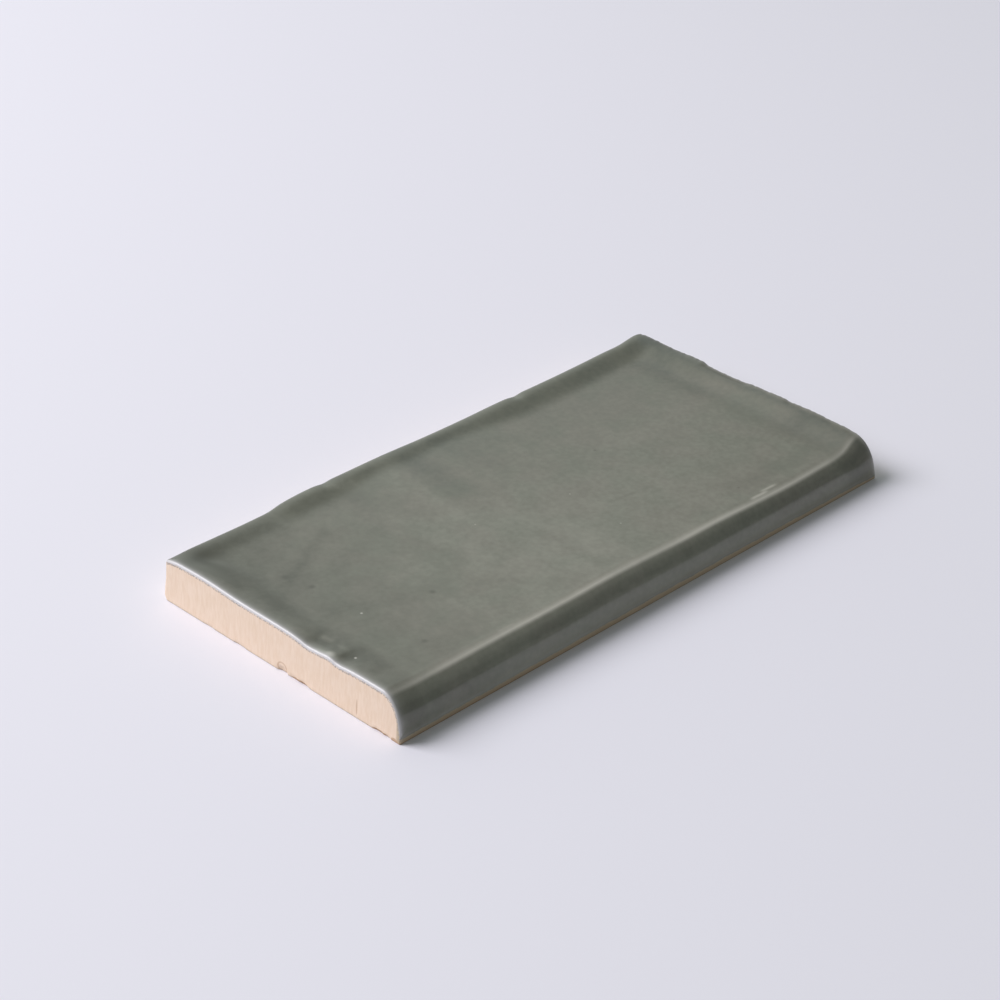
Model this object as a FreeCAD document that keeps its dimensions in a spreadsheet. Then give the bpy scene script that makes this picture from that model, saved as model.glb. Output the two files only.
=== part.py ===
import FreeCAD, Part
import os
import Sketcher

# A bullnose ceramic wall tile: one fired piece, glazed on its face and on its rounded long edge.
# It is pressed as a slab with a softly waved, dished face and then trimmed on three sides.
# Frame: origin at the middle of the flat back, +X along the length, +Y to the trimmed long side, +Z up.
# The bullnose is the long edge on the -Y side. All sizes are millimetres.

NODE = "bullnose_tile"

SIZES = {
    "tile_length": 150.0,    # along X, measured at the back
    "tile_width": 75.0,      # along Y, from the bullnose to the trimmed long side
    "tile_thickness": 10.0,  # level of the glazed face, from which its waves are measured
    "trim_lean": 0.6,        # how far a trimmed side leans in over the thickness
    "rim_width": 9.0,        # width of the raised rim along the trimmed sides
    "nose_reach": 5.5,       # run of the bullnose curve across the width
    "nose_base": 2.0,        # height where the bullnose curve becomes upright
    "foot_height": 1.0,      # bare biscuit left below the glaze along the bullnose
    "foot_inset": 0.35,      # how far that bare foot stands back
    "face_arris": 0.65,      # easing where the glazed face meets a trimmed side
    "corner_ease": 0.35,     # how much rounder than that the two upright trimmed corners are
    "foot_arris": 0.4,       # bevel round the flat back
    "press_margin": 3.0,     # pressed clay outside the trimmed outline
}

# Waves of the pressed face, station by station from the -X end to the +X end: the height above
# tile_thickness of the back rim, of the dish behind the middle, of the dish in front of the middle
# and of the crest of the bullnose.
WAVES = [
    (0.0, 3.6, 0.9, 1.2),
    (0.4, -0.5, -0.4, -0.1),
    (0.2, -1.1, -0.3, -0.2),
    (1.4, -0.8, -0.1, -0.4),
    (1.2, -0.1, -0.2, -0.3),
    (0.7, -0.2, -0.4, -0.4),
    (0.6, -1.0, -0.3, -0.7),
    (0.7, -1.8, -0.4, -0.9),
    (0.7, -1.7, -0.2, -1.0),
    (1.0, -1.6, -0.3, -0.9),
    (2.2, 3.8, 3.0, 2.2),
]

# Handle length of a cubic curve that follows a quarter of an ellipse.
QUARTER_HANDLE = 0.5523

# Height of the flat back in a sketch.
GROUND = "0"

# Number of each kind of point on a sketch element.
START, END, CENTRE = 1, 2, 3

doc = FreeCAD.newDocument("BullnoseTile")


def fill_sheet():
    """Write the driving sizes and the waves into the spreadsheet, one named cell each."""
    sheet = doc.addObject("Spreadsheet::Sheet", "Sizes")
    named = dict(SIZES)
    for station, heights in enumerate(WAVES):
        for line, height in zip(("rim", "back_dish", "front_dish", "crest"), heights):
            named["%s_wave_%d" % (line, station)] = height
    for row, (alias, value) in enumerate(named.items(), start=1):
        sheet.set("A%d" % row, alias)
        sheet.set("B%d" % row, str(value))
        sheet.setAlias("B%d" % row, alias)
    doc.recompute()
    return sheet


sheet = fill_sheet()
body = doc.addObject("PartDesign::Body", "Tile")
body.Label = NODE


def size(expression):
    """Value of an expression of the sheet's cells, in millimetres."""
    return float(sheet.evalExpression(expression))


def new_sketch(name, role, offset=None):
    """Start a sketch on an origin plane of the tile's body, moved along the plane's normal."""
    plane = [item for item in body.Origin.OriginFeatures if item.Role == role][0]
    sketch = body.newObject("Sketcher::SketchObject", name)
    sketch.AttachmentSupport = [(plane, "")]
    sketch.MapMode = "FlatFace"
    if offset:
        sketch.setExpression("AttachmentOffset.Base.z", offset)
    return sketch


def pin(sketch, element, point, place):
    """Hold a point of a sketch element at a place given as (across, up) expressions."""
    for axis, expression in zip(("DistanceX", "DistanceY"), place):
        rule = Sketcher.Constraint(axis, -1, START, element, point, size(expression))
        index = sketch.addConstraint(rule)
        sketch.setExpression("Constraints[%d]" % index, expression)


def vector(place):
    """Starting position in a sketch of a place given as (across, up) expressions."""
    return FreeCAD.Vector(size(place[0]), size(place[1]), 0)


def add_outline(sketch, places):
    """Add a closed outline of straight lines through the places."""
    first = sketch.GeometryCount
    count = len(places)
    for index, place in enumerate(places):
        ahead = places[(index + 1) % count]
        sketch.addGeometry(Part.LineSegment(vector(place), vector(ahead)), False)
    for index, place in enumerate(places):
        ahead = first + (index + 1) % count
        sketch.addConstraint(Sketcher.Constraint("Coincident", first + index, END, ahead, START))
        pin(sketch, first + index, START, place)


def add_curve(sketch, places, follows=None):
    """Add a cubic curve with its poles at the places, joined to the curve it follows, if any."""
    spans = len(places) - 3
    ends = [4] + [1] * (spans - 1) + [4]
    curve = Part.BSplineCurve()
    knots = [float(knot) for knot in range(spans + 1)]
    curve.buildFromPolesMultsKnots([vector(place) for place in places], ends, knots, False, 3)
    number = sketch.addGeometry(curve, False)
    sketch.exposeInternalGeometry(number)
    for index, place in enumerate(places):
        if index or follows is None:
            pin(sketch, number + 1 + index, CENTRE, place)
    if follows is not None:
        sketch.addConstraint(Sketcher.Constraint("Coincident", follows, END, number, START))
    return number


def pressed_section(station, offset):
    """Draw the pressed slab's section at one station along the length."""
    nose = "-Sizes.tile_width / 2"
    back = "Sizes.tile_width / 2 + Sizes.press_margin"
    under = "-Sizes.press_margin"
    rim = "Sizes.tile_thickness + Sizes.rim_wave_%d" % station
    back_dish = "Sizes.tile_thickness + Sizes.back_dish_wave_%d" % station
    front_dish = "Sizes.tile_thickness + Sizes.front_dish_wave_%d" % station
    crest = "Sizes.tile_thickness + Sizes.crest_wave_%d" % station
    nose_top = nose + " + Sizes.nose_reach"
    face = [
        (back, rim),
        ("Sizes.tile_width / 2 - Sizes.rim_width / 3", rim),
        ("Sizes.tile_width / 2 - Sizes.rim_width", back_dish),
        (nose_top + " + 3 * Sizes.rim_width", front_dish),
        (nose_top + " + Sizes.rim_width", crest),
        (nose_top, crest),
    ]
    handle_up = "Sizes.nose_base + (%s - Sizes.nose_base) * %s" % (crest, QUARTER_HANDLE)
    round_edge = [
        (nose_top, crest),
        (nose_top + " - Sizes.nose_reach * %s" % QUARTER_HANDLE, crest),
        (nose, handle_up),
        (nose, "Sizes.nose_base"),
    ]
    sketch = new_sketch("Section%d" % station, "YZ_Plane", offset)
    top = add_curve(sketch, face)
    curl = add_curve(sketch, round_edge, follows=top)
    corners = [round_edge[-1], (nose, under), (back, under), face[0]]
    first = sketch.GeometryCount
    for begin, finish in zip(corners, corners[1:]):
        sketch.addGeometry(Part.LineSegment(vector(begin), vector(finish)), False)
    loop = [(curl, first), (first, first + 1), (first + 1, first + 2), (first + 2, top)]
    for before, after in loop:
        sketch.addConstraint(Sketcher.Constraint("Coincident", before, END, after, START))
    for index in (1, 2):
        pin(sketch, first + index, START, corners[index])
    return sketch


def press_slab():
    """Loft the pressed slab through its sections."""
    last = len(WAVES) - 1
    half = "Sizes.tile_length / 2"
    pitch = "(Sizes.tile_length - 2 * Sizes.rim_width) / %d" % (last - 2)
    sections = []
    for station in range(len(WAVES)):
        if station == 0:
            offset = "-%s - Sizes.press_margin" % half
        elif station == last:
            offset = "%s + Sizes.press_margin" % half
        else:
            offset = "-%s + Sizes.rim_width + %d * %s" % (half, station - 1, pitch)
        sections.append(pressed_section(station, offset))
    doc.recompute()
    slab = body.newObject("PartDesign::AdditiveLoft", "PressedSlab")
    slab.Profile = sections[0]
    slab.Sections = sections[1:]
    doc.recompute()
    return slab


def cut_through(name, sketch):
    """Cut a sketch's outline right through the tile, both ways from its plane."""
    before = body.Shape.Volume
    pocket = body.newObject("PartDesign::Pocket", name)
    pocket.Profile = sketch
    pocket.SideType = "Symmetric"
    pocket.Type = "Length"
    pocket.setExpression("Length", "2 * (Sizes.tile_length + Sizes.tile_width)")
    doc.recompute()
    if not pocket.Shape.Volume < before:
        raise RuntimeError("%s removes nothing" % name)
    return pocket


def leaning(edge, height):
    """Place of a trimmed side at a height, as the distance from the middle."""
    return "%s - Sizes.trim_lean * (%s) / Sizes.tile_thickness" % (edge, height)


def trim_ends():
    """Trim both ends with their lean, and the underside flat, in one cut along the width."""
    half = "Sizes.tile_length / 2"
    top = "Sizes.tile_thickness + Sizes.press_margin"
    outside = "(%s + 2 * Sizes.press_margin)" % half
    above = "Sizes.tile_thickness + 2 * Sizes.press_margin"
    below = "-2 * Sizes.press_margin"
    kept_top = "(%s)" % leaning(half, top)
    sketch = new_sketch("EndTrim", "XZ_Plane")
    add_outline(sketch, [("-" + outside, below), (outside, below), (outside, above), ("-" + outside, above)])
    add_outline(sketch, [("-" + half, GROUND), (half, GROUND), (kept_top, top), ("-" + kept_top, top)])
    return cut_through("TrimEnds", sketch)


def trim_back():
    """Trim the long side opposite the bullnose with its lean."""
    half = "Sizes.tile_width / 2"
    top = "Sizes.tile_thickness + Sizes.press_margin"
    below = "-Sizes.press_margin"
    outside = half + " + 2 * Sizes.press_margin"
    sketch = new_sketch("BackTrim", "YZ_Plane")
    line = [(leaning(half, below), below), (outside, below), (outside, top), (leaning(half, top), top)]
    add_outline(sketch, line)
    return cut_through("TrimBack", sketch)


def edge_names(shape, wanted):
    """Names of the edges of a shape that a test accepts."""
    names = ["Edge%d" % (index + 1) for index, edge in enumerate(shape.Edges) if wanted(edge)]
    if not names:
        raise RuntimeError("no edge found to ease")
    return names


def ease(kind, name, base, wanted, amount, expression):
    """Round or bevel the edges of a feature that a test accepts."""
    feature = body.newObject("PartDesign::" + kind, name)
    feature.Base = (base, edge_names(base.Shape, wanted))
    feature.setExpression(amount, expression)
    doc.recompute()
    return feature


def ease_edges(trimmed):
    """Round the upright corners, then bevel the edges of the back and of the glazed face."""
    end = size("Sizes.tile_length / 2 - 2 * Sizes.trim_lean")
    side = size("Sizes.tile_width / 2 - 2 * Sizes.trim_lean")
    nose = size("Sizes.nose_reach - Sizes.tile_width / 2")
    middle = size("Sizes.tile_thickness / 2")

    def at_corner(edge):
        at = edge.CenterOfMass
        return abs(at.x) > end and at.y > side

    def on_back(edge):
        at = edge.CenterOfMass
        return at.z < size("Sizes.foot_arris / 2") and at.y > nose

    def on_face(edge):
        at = edge.CenterOfMass
        outer = abs(at.x) > end or at.y > side
        return outer and at.z > middle and edge.Curve.TypeId != "Part::GeomLine"

    corners = ease("Fillet", "RoundCorners", trimmed, at_corner, "Radius",
                   "Sizes.face_arris + Sizes.corner_ease")
    back = ease("Chamfer", "BevelBack", corners, on_back, "Size", "Sizes.foot_arris")
    return ease("Chamfer", "EaseFace", back, on_face, "Size", "Sizes.face_arris")


def bare_foot():
    """Cut back the bare biscuit that is left below the glaze along the bullnose."""
    nose = "-Sizes.tile_width / 2"
    outside = nose + " - Sizes.press_margin"
    inside = nose + " + Sizes.foot_inset"
    below = "-Sizes.press_margin"
    top = "Sizes.foot_height"
    sketch = new_sketch("Foot", "YZ_Plane")
    add_outline(sketch, [(outside, below), (inside, below), (inside, top), (outside, top)])
    return cut_through("BareFoot", sketch)


def write_out():
    """Test every object of the document and write the tile's solid."""
    for item in doc.Objects:
        if "Invalid" in item.State or "Error" in item.State:
            raise RuntimeError("%s failed: %s" % (item.Label, item.State))
    shape = body.Shape
    if shape.isNull() or not shape.isValid() or len(shape.Solids) != 1:
        raise RuntimeError("the tile is not one valid solid")
    os.makedirs("parts", exist_ok=True)
    shape.exportStep("parts/%s.step" % body.Label)


def main():
    """Press, trim and ease the tile, cut back its foot and write it out."""
    press_slab()
    trim_ends()
    ease_edges(trim_back())
    bare_foot()
    write_out()


main()
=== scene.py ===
"""Studio scene of a glazed bullnose tile: one fired piece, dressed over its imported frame.

Sizes are in millimetres unless a name says otherwise, and turn to metres as meshes are made.
The tile lies on its back: +X runs along its length, the bullnose faces -Y and +Z is up.
"""

import logging
import math
from dataclasses import dataclass
from enum import Enum
from typing import NamedTuple

import bpy
import numpy as np
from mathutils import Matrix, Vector


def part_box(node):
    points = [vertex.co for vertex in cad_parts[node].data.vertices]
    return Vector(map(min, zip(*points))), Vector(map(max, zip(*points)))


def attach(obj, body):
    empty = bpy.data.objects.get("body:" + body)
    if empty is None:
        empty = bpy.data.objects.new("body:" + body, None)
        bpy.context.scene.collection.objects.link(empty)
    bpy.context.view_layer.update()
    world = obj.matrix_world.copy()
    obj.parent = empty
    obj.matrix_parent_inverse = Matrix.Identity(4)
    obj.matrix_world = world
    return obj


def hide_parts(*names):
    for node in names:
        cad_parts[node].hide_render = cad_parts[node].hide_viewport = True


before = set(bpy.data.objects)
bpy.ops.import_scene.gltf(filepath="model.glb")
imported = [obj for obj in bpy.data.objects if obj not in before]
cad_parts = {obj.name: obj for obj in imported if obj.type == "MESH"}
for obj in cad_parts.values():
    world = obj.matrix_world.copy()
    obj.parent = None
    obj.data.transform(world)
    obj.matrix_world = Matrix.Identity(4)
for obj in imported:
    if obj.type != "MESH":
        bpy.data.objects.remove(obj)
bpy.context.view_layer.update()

MM = 0.001
TINY = 1e-9
GLAZE_ROOM = 0.03
NOISE_MIDDLE = 0.5
QUARTER_TURN = math.pi / 2.0
NODE = "bullnose_tile"
BODY = "root"
DEPTH = "edge_depth"
BREAK = "edge_break"
SHOW = "edge_show"
RIDGE = "ridge_break_and_highlight"
POOL = "glaze_depth_and_shade"
VALUES = (DEPTH, BREAK, SHOW, RIDGE, POOL)

Array = np.ndarray
Socket = bpy.types.NodeSocket
Colour = tuple[float, float, float, float]
Stretch = tuple[float, float, float]

log = logging.getLogger("bullnose_tile_scene")


class End(Enum):
    """The two trimmed ends, by the side of the origin that they are on."""

    NEAR = -1
    FAR = 1

    @property
    def column(self) -> int:
        """Number of the end's own column of points."""
        return 0 if self is End.NEAR else -1


class Zone(Enum):
    """The stretches of the tile's section, from the front foot over the face to the back foot."""

    FOOT = 0
    NOSE = 1
    FACE = 2
    ARRIS = 3
    WALL = 4


def linear(red: int, green: int, blue: int) -> Colour:
    """Turns a screen colour into the linear one that shaders use.

    Args:
        red: Red from 0 to 255.
        green: Green from 0 to 255.
        blue: Blue from 0 to 255.

    Returns:
        Linear red, green and blue, with full alpha.
    """
    parts = [part / 255 for part in (red, green, blue)]
    light = [part / 12.92 if part <= 0.04045 else ((part + 0.055) / 1.055) ** 2.4 for part in parts]
    return (light[0], light[1], light[2], 1.0)


def ease(step: Array) -> Array:
    """A smooth rise from 0 to 1 as the step goes from 0 to 1."""
    step = np.clip(step, 0.0, 1.0)
    return step * step * (3.0 - 2.0 * step)


class Wave(NamedTuple):
    """One sine of a line that wanders: radians a millimetre, radians at the start, and height."""

    rate: float
    start: float
    height: float = 1.0


def wander(waves: tuple[Wave, ...], where: Array) -> Array:
    """The sum of some waves at each place."""
    return sum(wave.height * np.sin(wave.rate * where + wave.start) for wave in waves)


@dataclass(frozen=True)
class Sweep:
    """A size that changes smoothly along an edge, given at a few places."""

    points: tuple[tuple[float, float], ...]

    def at(self, where: Array) -> Array:
        """Reads the size on a smooth curve through the given points.

        Args:
            where: Places along the edge.

        Returns:
            One size for each place.
        """
        places, sizes = np.array(self.points).T
        slopes = np.gradient(sizes, places)
        where = np.clip(where, places[0], places[-1])
        left = np.clip(np.searchsorted(places, where) - 1, 0, len(places) - 2)
        span = places[left + 1] - places[left]
        step = (where - places[left]) / span
        rest = 1.0 - step
        return (
            sizes[left] * (1.0 + 2.0 * step) * rest**2
            + sizes[left + 1] * (3.0 - 2.0 * step) * step**2
            + span * rest * step * (slopes[left] * rest - slopes[left + 1] * step)
        )


@dataclass(frozen=True)
class Dent:
    """A small lump (positive height) or pit (negative) in the glazed face."""

    x: float
    y: float
    height: float
    reach: float

    def lift(self, x: Array, y: Array) -> Array:
        """How far the face is lifted at each place."""
        return self.height * np.exp(-((x - self.x) ** 2 + (y - self.y) ** 2) / self.reach**2)


@dataclass(frozen=True)
class FaceRelief:
    """Heights of the pressed face: a shallow dish between a back rim, two end rims and the nose."""

    end: float
    back: float
    front_line: float = -32.0
    middle_line: float = -10.0
    back_line: float = 28.0
    back_skew: float = 1.35
    crest: Sweep = Sweep((
        (-75, 9.95), (-50, 9.8), (-25, 9.65), (-12, 9.85), (0, 9.7), (12, 9.4),
        (25, 9.3), (37, 9.1), (50, 8.95), (58, 9.0), (66, 9.25), (75, 9.4),
    ))
    middle: Sweep = Sweep((
        (-75, 9.75), (-60, 9.6), (-40, 9.6), (-13, 9.7), (0, 9.6), (30, 9.3), (50, 9.2), (66, 9.4), (75, 9.5),
    ))
    dish: Sweep = Sweep((
        (-75, 9.3), (-62, 9.25), (-50, 9.35), (-40, 9.8), (-25, 10.05), (-16, 10.34), (-13.5, 10.37),
        (-11, 10.28), (0, 10.0), (15, 9.6), (30, 9.2), (45, 9.05), (60, 9.25), (75, 9.6),
    ))
    back_edge: Sweep = Sweep((
        (-75, 10.3), (-62, 10.05), (-50, 9.95), (-46, 10.05), (-42, 10.75), (-38, 11.05), (-25, 11.0),
        (-12, 10.95), (0, 10.55), (12, 10.4), (25, 10.5), (37, 10.3), (50, 10.35), (62, 10.65), (75, 11.3),
    ))
    back_rim: Sweep = Sweep((
        (-75, 9.0), (-50, 9.0), (-40, 8.5), (-28, 9.0), (-18, 7.0), (-8, 8.0), (2, 6.5), (12, 8.0),
        (25, 10.2), (40, 10.0), (56, 9.5), (66, 8.5), (75, 8.5),
    ))
    near_edge: Sweep = Sweep((
        (-33, 10.25), (-29, 10.25), (-24, 10.15), (-21, 9.95), (-18.9, 9.82), (-17.7, 9.9), (-16.6, 10.1),
        (-15, 10.08), (-12, 9.95), (-9, 9.8), (-7, 10.1), (-4, 10.4), (0, 10.5), (5, 10.5), (10, 10.5),
        (15, 10.6), (20, 10.85), (30, 10.8), (34, 10.55), (37, 9.9),
    ))
    near_rim: Sweep = Sweep((
        (-37, 7.5), (-20, 9.0), (0, 9.0), (10, 10.5), (20, 11.6), (27, 10.5), (32, 8.2), (37, 7.2),
    ))
    far_edge: Sweep = Sweep((
        (-33, 10.5), (-27, 10.75), (-18, 11.0), (-7, 11.05), (3, 10.85), (10, 10.85), (19, 11.2), (27, 11.3),
        (35, 11.5),
    ))
    far_nicks: Sweep = Sweep((
        (-33, 0.05), (-31, -0.15), (-29, 0.0), (-24, -0.05), (-20, 0.08), (-12, -0.05), (-9, 0.1), (-5, 0.0),
        (0, 0.08), (4, -0.2), (10, -0.22), (13.0, -0.2), (14.2, -0.1), (15.4, 0.22), (17, 0.25), (19, 0.2),
        (23, -0.03), (31, 0.0), (35, 0.05),
    ))
    nick_reach: float = 2.2
    rag: float = 0.03
    rag_reach: float = 0.9
    rag_waves: tuple[Wave, ...] = (Wave(1.7, 0.0), Wave(2.9, 1.0), Wave(4.3, 2.0))
    far_rim: Sweep = Sweep(((-37, 7.5), (-10, 7.5), (10, 7.0), (37, 8.0)))
    far_roll: float = 0.28
    far_roll_reach: float = 3.0
    far_trough: float = 0.22
    far_trough_place: float = 65.5
    far_trough_reach: float = 3.5
    dents: tuple[Dent, ...] = tuple(Dent(*row) for row in (
        (-73.2, -14.8, 0.18, 1.5), (-71.0, -11.7, -0.12, 1.2), (-69.3, -9.5, 0.05, 0.9),
        (-69.5, -15.0, 0.06, 1.0), (-70.0, -19.2, -0.10, 0.6), (74.5, 36.5, -0.25, 2.0),
        (-69.7, -27.0, -0.12, 2.0), (-72.5, -22.0, 0.10, 1.5), (-30.0, 36.5, -0.30, 1.8),
        (30.0, 36.5, -0.35, 1.8), (74.0, -12.0, -0.12, 1.3), (74.0, 2.0, -0.12, 1.2),
        (74.0, -32.0, -0.12, 1.2),
    ))

    @staticmethod
    def bank(step: Array) -> Array:
        """A soft bank from the dish, at 0, to the edge, at 1."""
        step = np.clip(step, 0.0, 1.0)
        return step**3 * (10.0 - 15.0 * step + 6.0 * step**2)

    @staticmethod
    def steep(step: Array) -> Array:
        """How much of a bank's steep middle each step is on, from 0 to 1."""
        return ease(4.0 * step * (1.0 - step))

    def back_step(self, x: Array, y: Array) -> Array:
        """How far up the back rim each place is, from 0 at its foot to 1 at the edge."""
        return np.clip((y - self.back) / self.back_rim.at(x) + 1.0, 0.0, 1.0) ** self.back_skew

    def near_step(self, x: Array, y: Array) -> Array:
        """How far up the near rim each place is, from 0 at its foot to 1 at the edge."""
        return np.clip(1.0 - (x + self.end) / self.near_rim.at(y), 0.0, 1.0)

    def far_step(self, x: Array, y: Array) -> Array:
        """How far up the far rim each place is, from 0 at its foot to 1 at the edge."""
        return np.clip(1.0 + (x - self.end) / self.far_rim.at(y), 0.0, 1.0)

    def basin(self, x: Array, y: Array) -> Array:
        """Height of the dish with its back rim, as if the ends had none.

        Args:
            x: Places along the tile.
            y: Places across it, of the same shape.

        Returns:
            One height for each place.
        """
        crest = self.crest.at(x)
        middle = self.middle.at(x)
        dish = self.dish.at(x)
        slope = (dish - crest) / (self.back_line - self.front_line)
        front_span = self.middle_line - self.front_line
        front = np.clip((y - self.front_line) / front_span, 0.0, 1.0)
        rear_span = self.back_line - self.middle_line
        rear = np.clip((y - self.middle_line) / rear_span, 0.0, 1.0)
        level = crest + (middle - crest) * ease(front) - slope * front_span * front**2 * (1.0 - front)
        level += (dish - middle) * ease(rear) + slope * rear_span * rear * (1.0 - rear) ** 2
        return level + (self.back_edge.at(x) - dish) * self.bank(self.back_step(x, y))

    def height(self, x: Array, y: Array) -> Array:
        """Height of the glazed face.

        Args:
            x: Places along the tile.
            y: Places across it, of the same shape.

        Returns:
            One height for each place.
        """
        level = self.basin(x, y)
        edge = np.full_like(x, self.end)
        near = self.near_edge.at(y) - self.basin(-edge, y)
        far = self.far_edge.at(y) - self.basin(edge, y)
        level = level + near * self.bank(self.near_step(x, y)) + far * self.bank(self.far_step(x, y))
        level = level + self.far_nicks.at(y) * self.bank(1.0 + (x - self.end) / self.nick_reach)
        torn = self.rag * wander(self.rag_waves, y)
        level = level + torn * self.bank(1.0 + (x - self.end) / self.rag_reach)
        trough = (x - self.far_trough_place) / self.far_trough_reach
        level = level - self.far_trough * np.exp(-(trough**2))
        level = level - self.far_roll * np.clip(1.0 + (x - self.end) / self.far_roll_reach, 0.0, 1.0) ** 2
        for dent in self.dents:
            level = level + dent.lift(x, y)
        return level


@dataclass(frozen=True)
class Stroke:
    """A soft mark along a straight line, darker where its strength is positive and paler where negative: deep
    and thin glaze in some marks, painted shade and painted light in others.
    """

    start: tuple[float, float]
    stop: tuple[float, float]
    reach: float
    strength: float

    def cover(self, x: Array, y: Array) -> Array:
        """How much the mark adds to the glaze's depth.

        Args:
            x: Places along the tile.
            y: Places across it, of the same shape.

        Returns:
            One share for each place.
        """
        way = np.subtract(self.stop, self.start)
        from_start = np.stack([x - self.start[0], y - self.start[1]], axis=-1)
        share = np.clip(from_start @ way / (way @ way), 0.0, 1.0)
        away = np.linalg.norm(from_start - share[..., None] * way, axis=-1)
        return self.strength * np.exp(-((away / self.reach) ** 2))


@dataclass(frozen=True)
class GlazePoolsAndShade:
    """How deep the glaze lies on the face: pooled on the inner banks of the rims, thin on the swells, with
    painted shade and painted light on some lumps, a crease and the near back corner.
    """

    along: Sweep = Sweep((
        (-75, 0.5), (-65, 0.52), (-60, 0.5), (-50, 0.36), (-40, 0.12), (-25, 0.0), (25, 0.0), (50, 0.06),
        (75, 0.08),
    ))
    across: Sweep = Sweep(((-37, -0.22), (-25, -0.2), (0, -0.08), (15, 0.03), (28, 0.15), (37, 0.08)))
    back: Sweep = Sweep((
        (-75, 0.45), (-68, 0.42), (-60, 0.12), (-50, 0.2), (-42, -0.1), (-28, -0.17), (-18, 0.0), (-8, 0.05),
        (2, 0.33), (12, 0.15), (25, 0.15), (40, 0.03), (55, 0.18), (65, -0.08), (70, 0.37), (75, 0.5),
    ))
    near: Sweep = Sweep((
        (-37, 0.35), (-25, 0.4), (-20, 0.7), (-14, 0.3), (-5, 0.1), (5, 0.3), (15, 0.25), (37, 0.5),
    ))
    nose: Sweep = Sweep((
        (-75, -0.05), (-60, -0.1), (-40, -0.48), (-20, -0.45), (0, -0.48), (20, -0.4), (40, -0.32),
        (75, -0.3),
    ))
    nose_line: float = -33.5
    nose_fade: float = 1.5
    strokes: tuple[Stroke, ...] = tuple(Stroke(*row) for row in (
        ((64.8, -34), (64.8, 3), 2.4, 0.12), ((64.6, 8), (64.8, 28), 2.4, 0.3),
        ((72.3, -34), (72.3, 34), 1.5, 0.5), ((72.3, -12), (72.3, 2), 1.5, 0.2),
        ((73.4, -34), (73.4, 15.5), 0.8, -0.6), ((72.6, -34), (72.6, -26), 1.0, -0.35),
        ((67, 30), (70, 30), 2.2, -0.25), ((69.5, -36), (69.5, -20), 5.0, 0.5),
        # Strokes at x -68 to -71, y 17 to 36, are painted shade in the near back corner; those at x -69 to
        # -74, y -2 to -20, are painted light and shade on the lumps by the near edge's jog.
        ((-69, 36), (-68.5, 27), 3.0, 0.5), ((-71.5, -9.5), (-70.6, -13.5), 1.0, 0.75),
        ((-70.8, -18.2), (-70.4, -20), 1.0, 0.2), ((-73.7, -12), (-73.2, -16.8), 0.8, -0.9),
        ((-69.5, -9), (-69.2, -11), 0.6, -0.5), ((-69.8, -14), (-69.4, -16), 0.7, -0.5),
        ((-72.8, -2), (-72.0, -6.2), 0.9, -0.45), ((-70.3, 36), (-70.3, 29), 2.2, 0.5),
        ((-70.6, 36), (-70.6, 17), 1.3, 0.35), ((68, -18), (68, 2), 3.0, 0.16),
        ((67, 20), (67, 28), 2.5, 0.15), ((70.5, 24), (70.5, 31), 2.2, 0.2),
        ((-22, -29.5), (22, -29.5), 2.6, 0.12), ((2, -23), (22, -23), 4.0, 0.06),
        ((-28, 30), (-28, 27), 3.5, 0.35), ((-42, 30.5), (-34, 30), 1.5, 0.3),
        ((3, 31), (5, 18), 4.0, 0.25), ((36, -28), (60, -28.5), 3.0, 0.2), ((-70, 5), (-60, 13), 2.2, 0.2),
        ((-60, 13), (-43, 22), 1.5, 0.26), ((-53, 20), (-49, 22), 3.0, -0.22),
        ((-37, 32.8), (-33, 32.8), 1.8, 0.2), ((-29, 33.5), (-26, 32), 1.8, -0.25),
        ((-31, 36), (-25, 36), 1.2, 0.3), ((-10, 36), (-4, 36), 1.2, 0.3),
        ((-18, 31), (-18, 33), 2.5, 0.25), ((-8, 31), (-8, 27), 2.5, 0.12),
        ((12, 29.5), (12, 27), 3.0, 0.15), ((-68.5, 31), (-68.5, 27), 2.5, 0.4),
        ((-68.5, -8), (-68.5, -12), 2.0, 0.25), ((-51, 8), (-35, 14), 2.0, 0.14),
        ((-63, -3), (-41, -12), 2.2, 0.14), ((-41, -12), (-25, -21), 2.5, 0.1),
        # The two strokes on this line are painted light on the left of the crease near x -13.5 and painted
        # shade on its right.
        ((-17, 4), (-17, 30), 3.5, -0.2), ((-9, 14), (-8.5, 32), 3.6, 0.36),
        ((-30, -8), (-30, 6), 1.5, 0.15), ((-25, -10), (-24, 2), 3.0, -0.12),
        ((-10, -2), (-7, 4), 3.0, -0.12), ((-9, -28), (-8.6, -12), 1.6, 0.14),
        ((-2.5, -26), (-2.2, -6), 3.0, -0.08), ((30, 4.5), (61, 5), 3.0, -0.08),
        ((12, -12.5), (23, -14), 0.6, 0.16), ((-47, 25), (-45, 24), 1.5, -0.25),
    ))

    def depth(self, relief: FaceRelief, x: Array, y: Array) -> Array:
        """Works out the glaze's depth, with the painted shade and painted light that ride on it.

        Args:
            relief: The face that the glaze lies on.
            x: Places along the tile.
            y: Places across it, of the same shape.

        Returns:
            One value for each place: 0 is usual, 1 is darkest and -1 is palest.
        """
        on_nose = ease((self.nose_line - y) / self.nose_fade)
        deep_and_shaded = (self.along.at(x) + self.across.at(y)) * (1.0 - on_nose) + self.nose.at(x) * on_nose
        deep_and_shaded = deep_and_shaded + self.back.at(x) * relief.steep(relief.back_step(x, y))
        deep_and_shaded = deep_and_shaded + self.near.at(y) * relief.steep(relief.near_step(x, y))
        for stroke in self.strokes:
            deep_and_shaded = deep_and_shaded + stroke.cover(x, y)
        return deep_and_shaded


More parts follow.
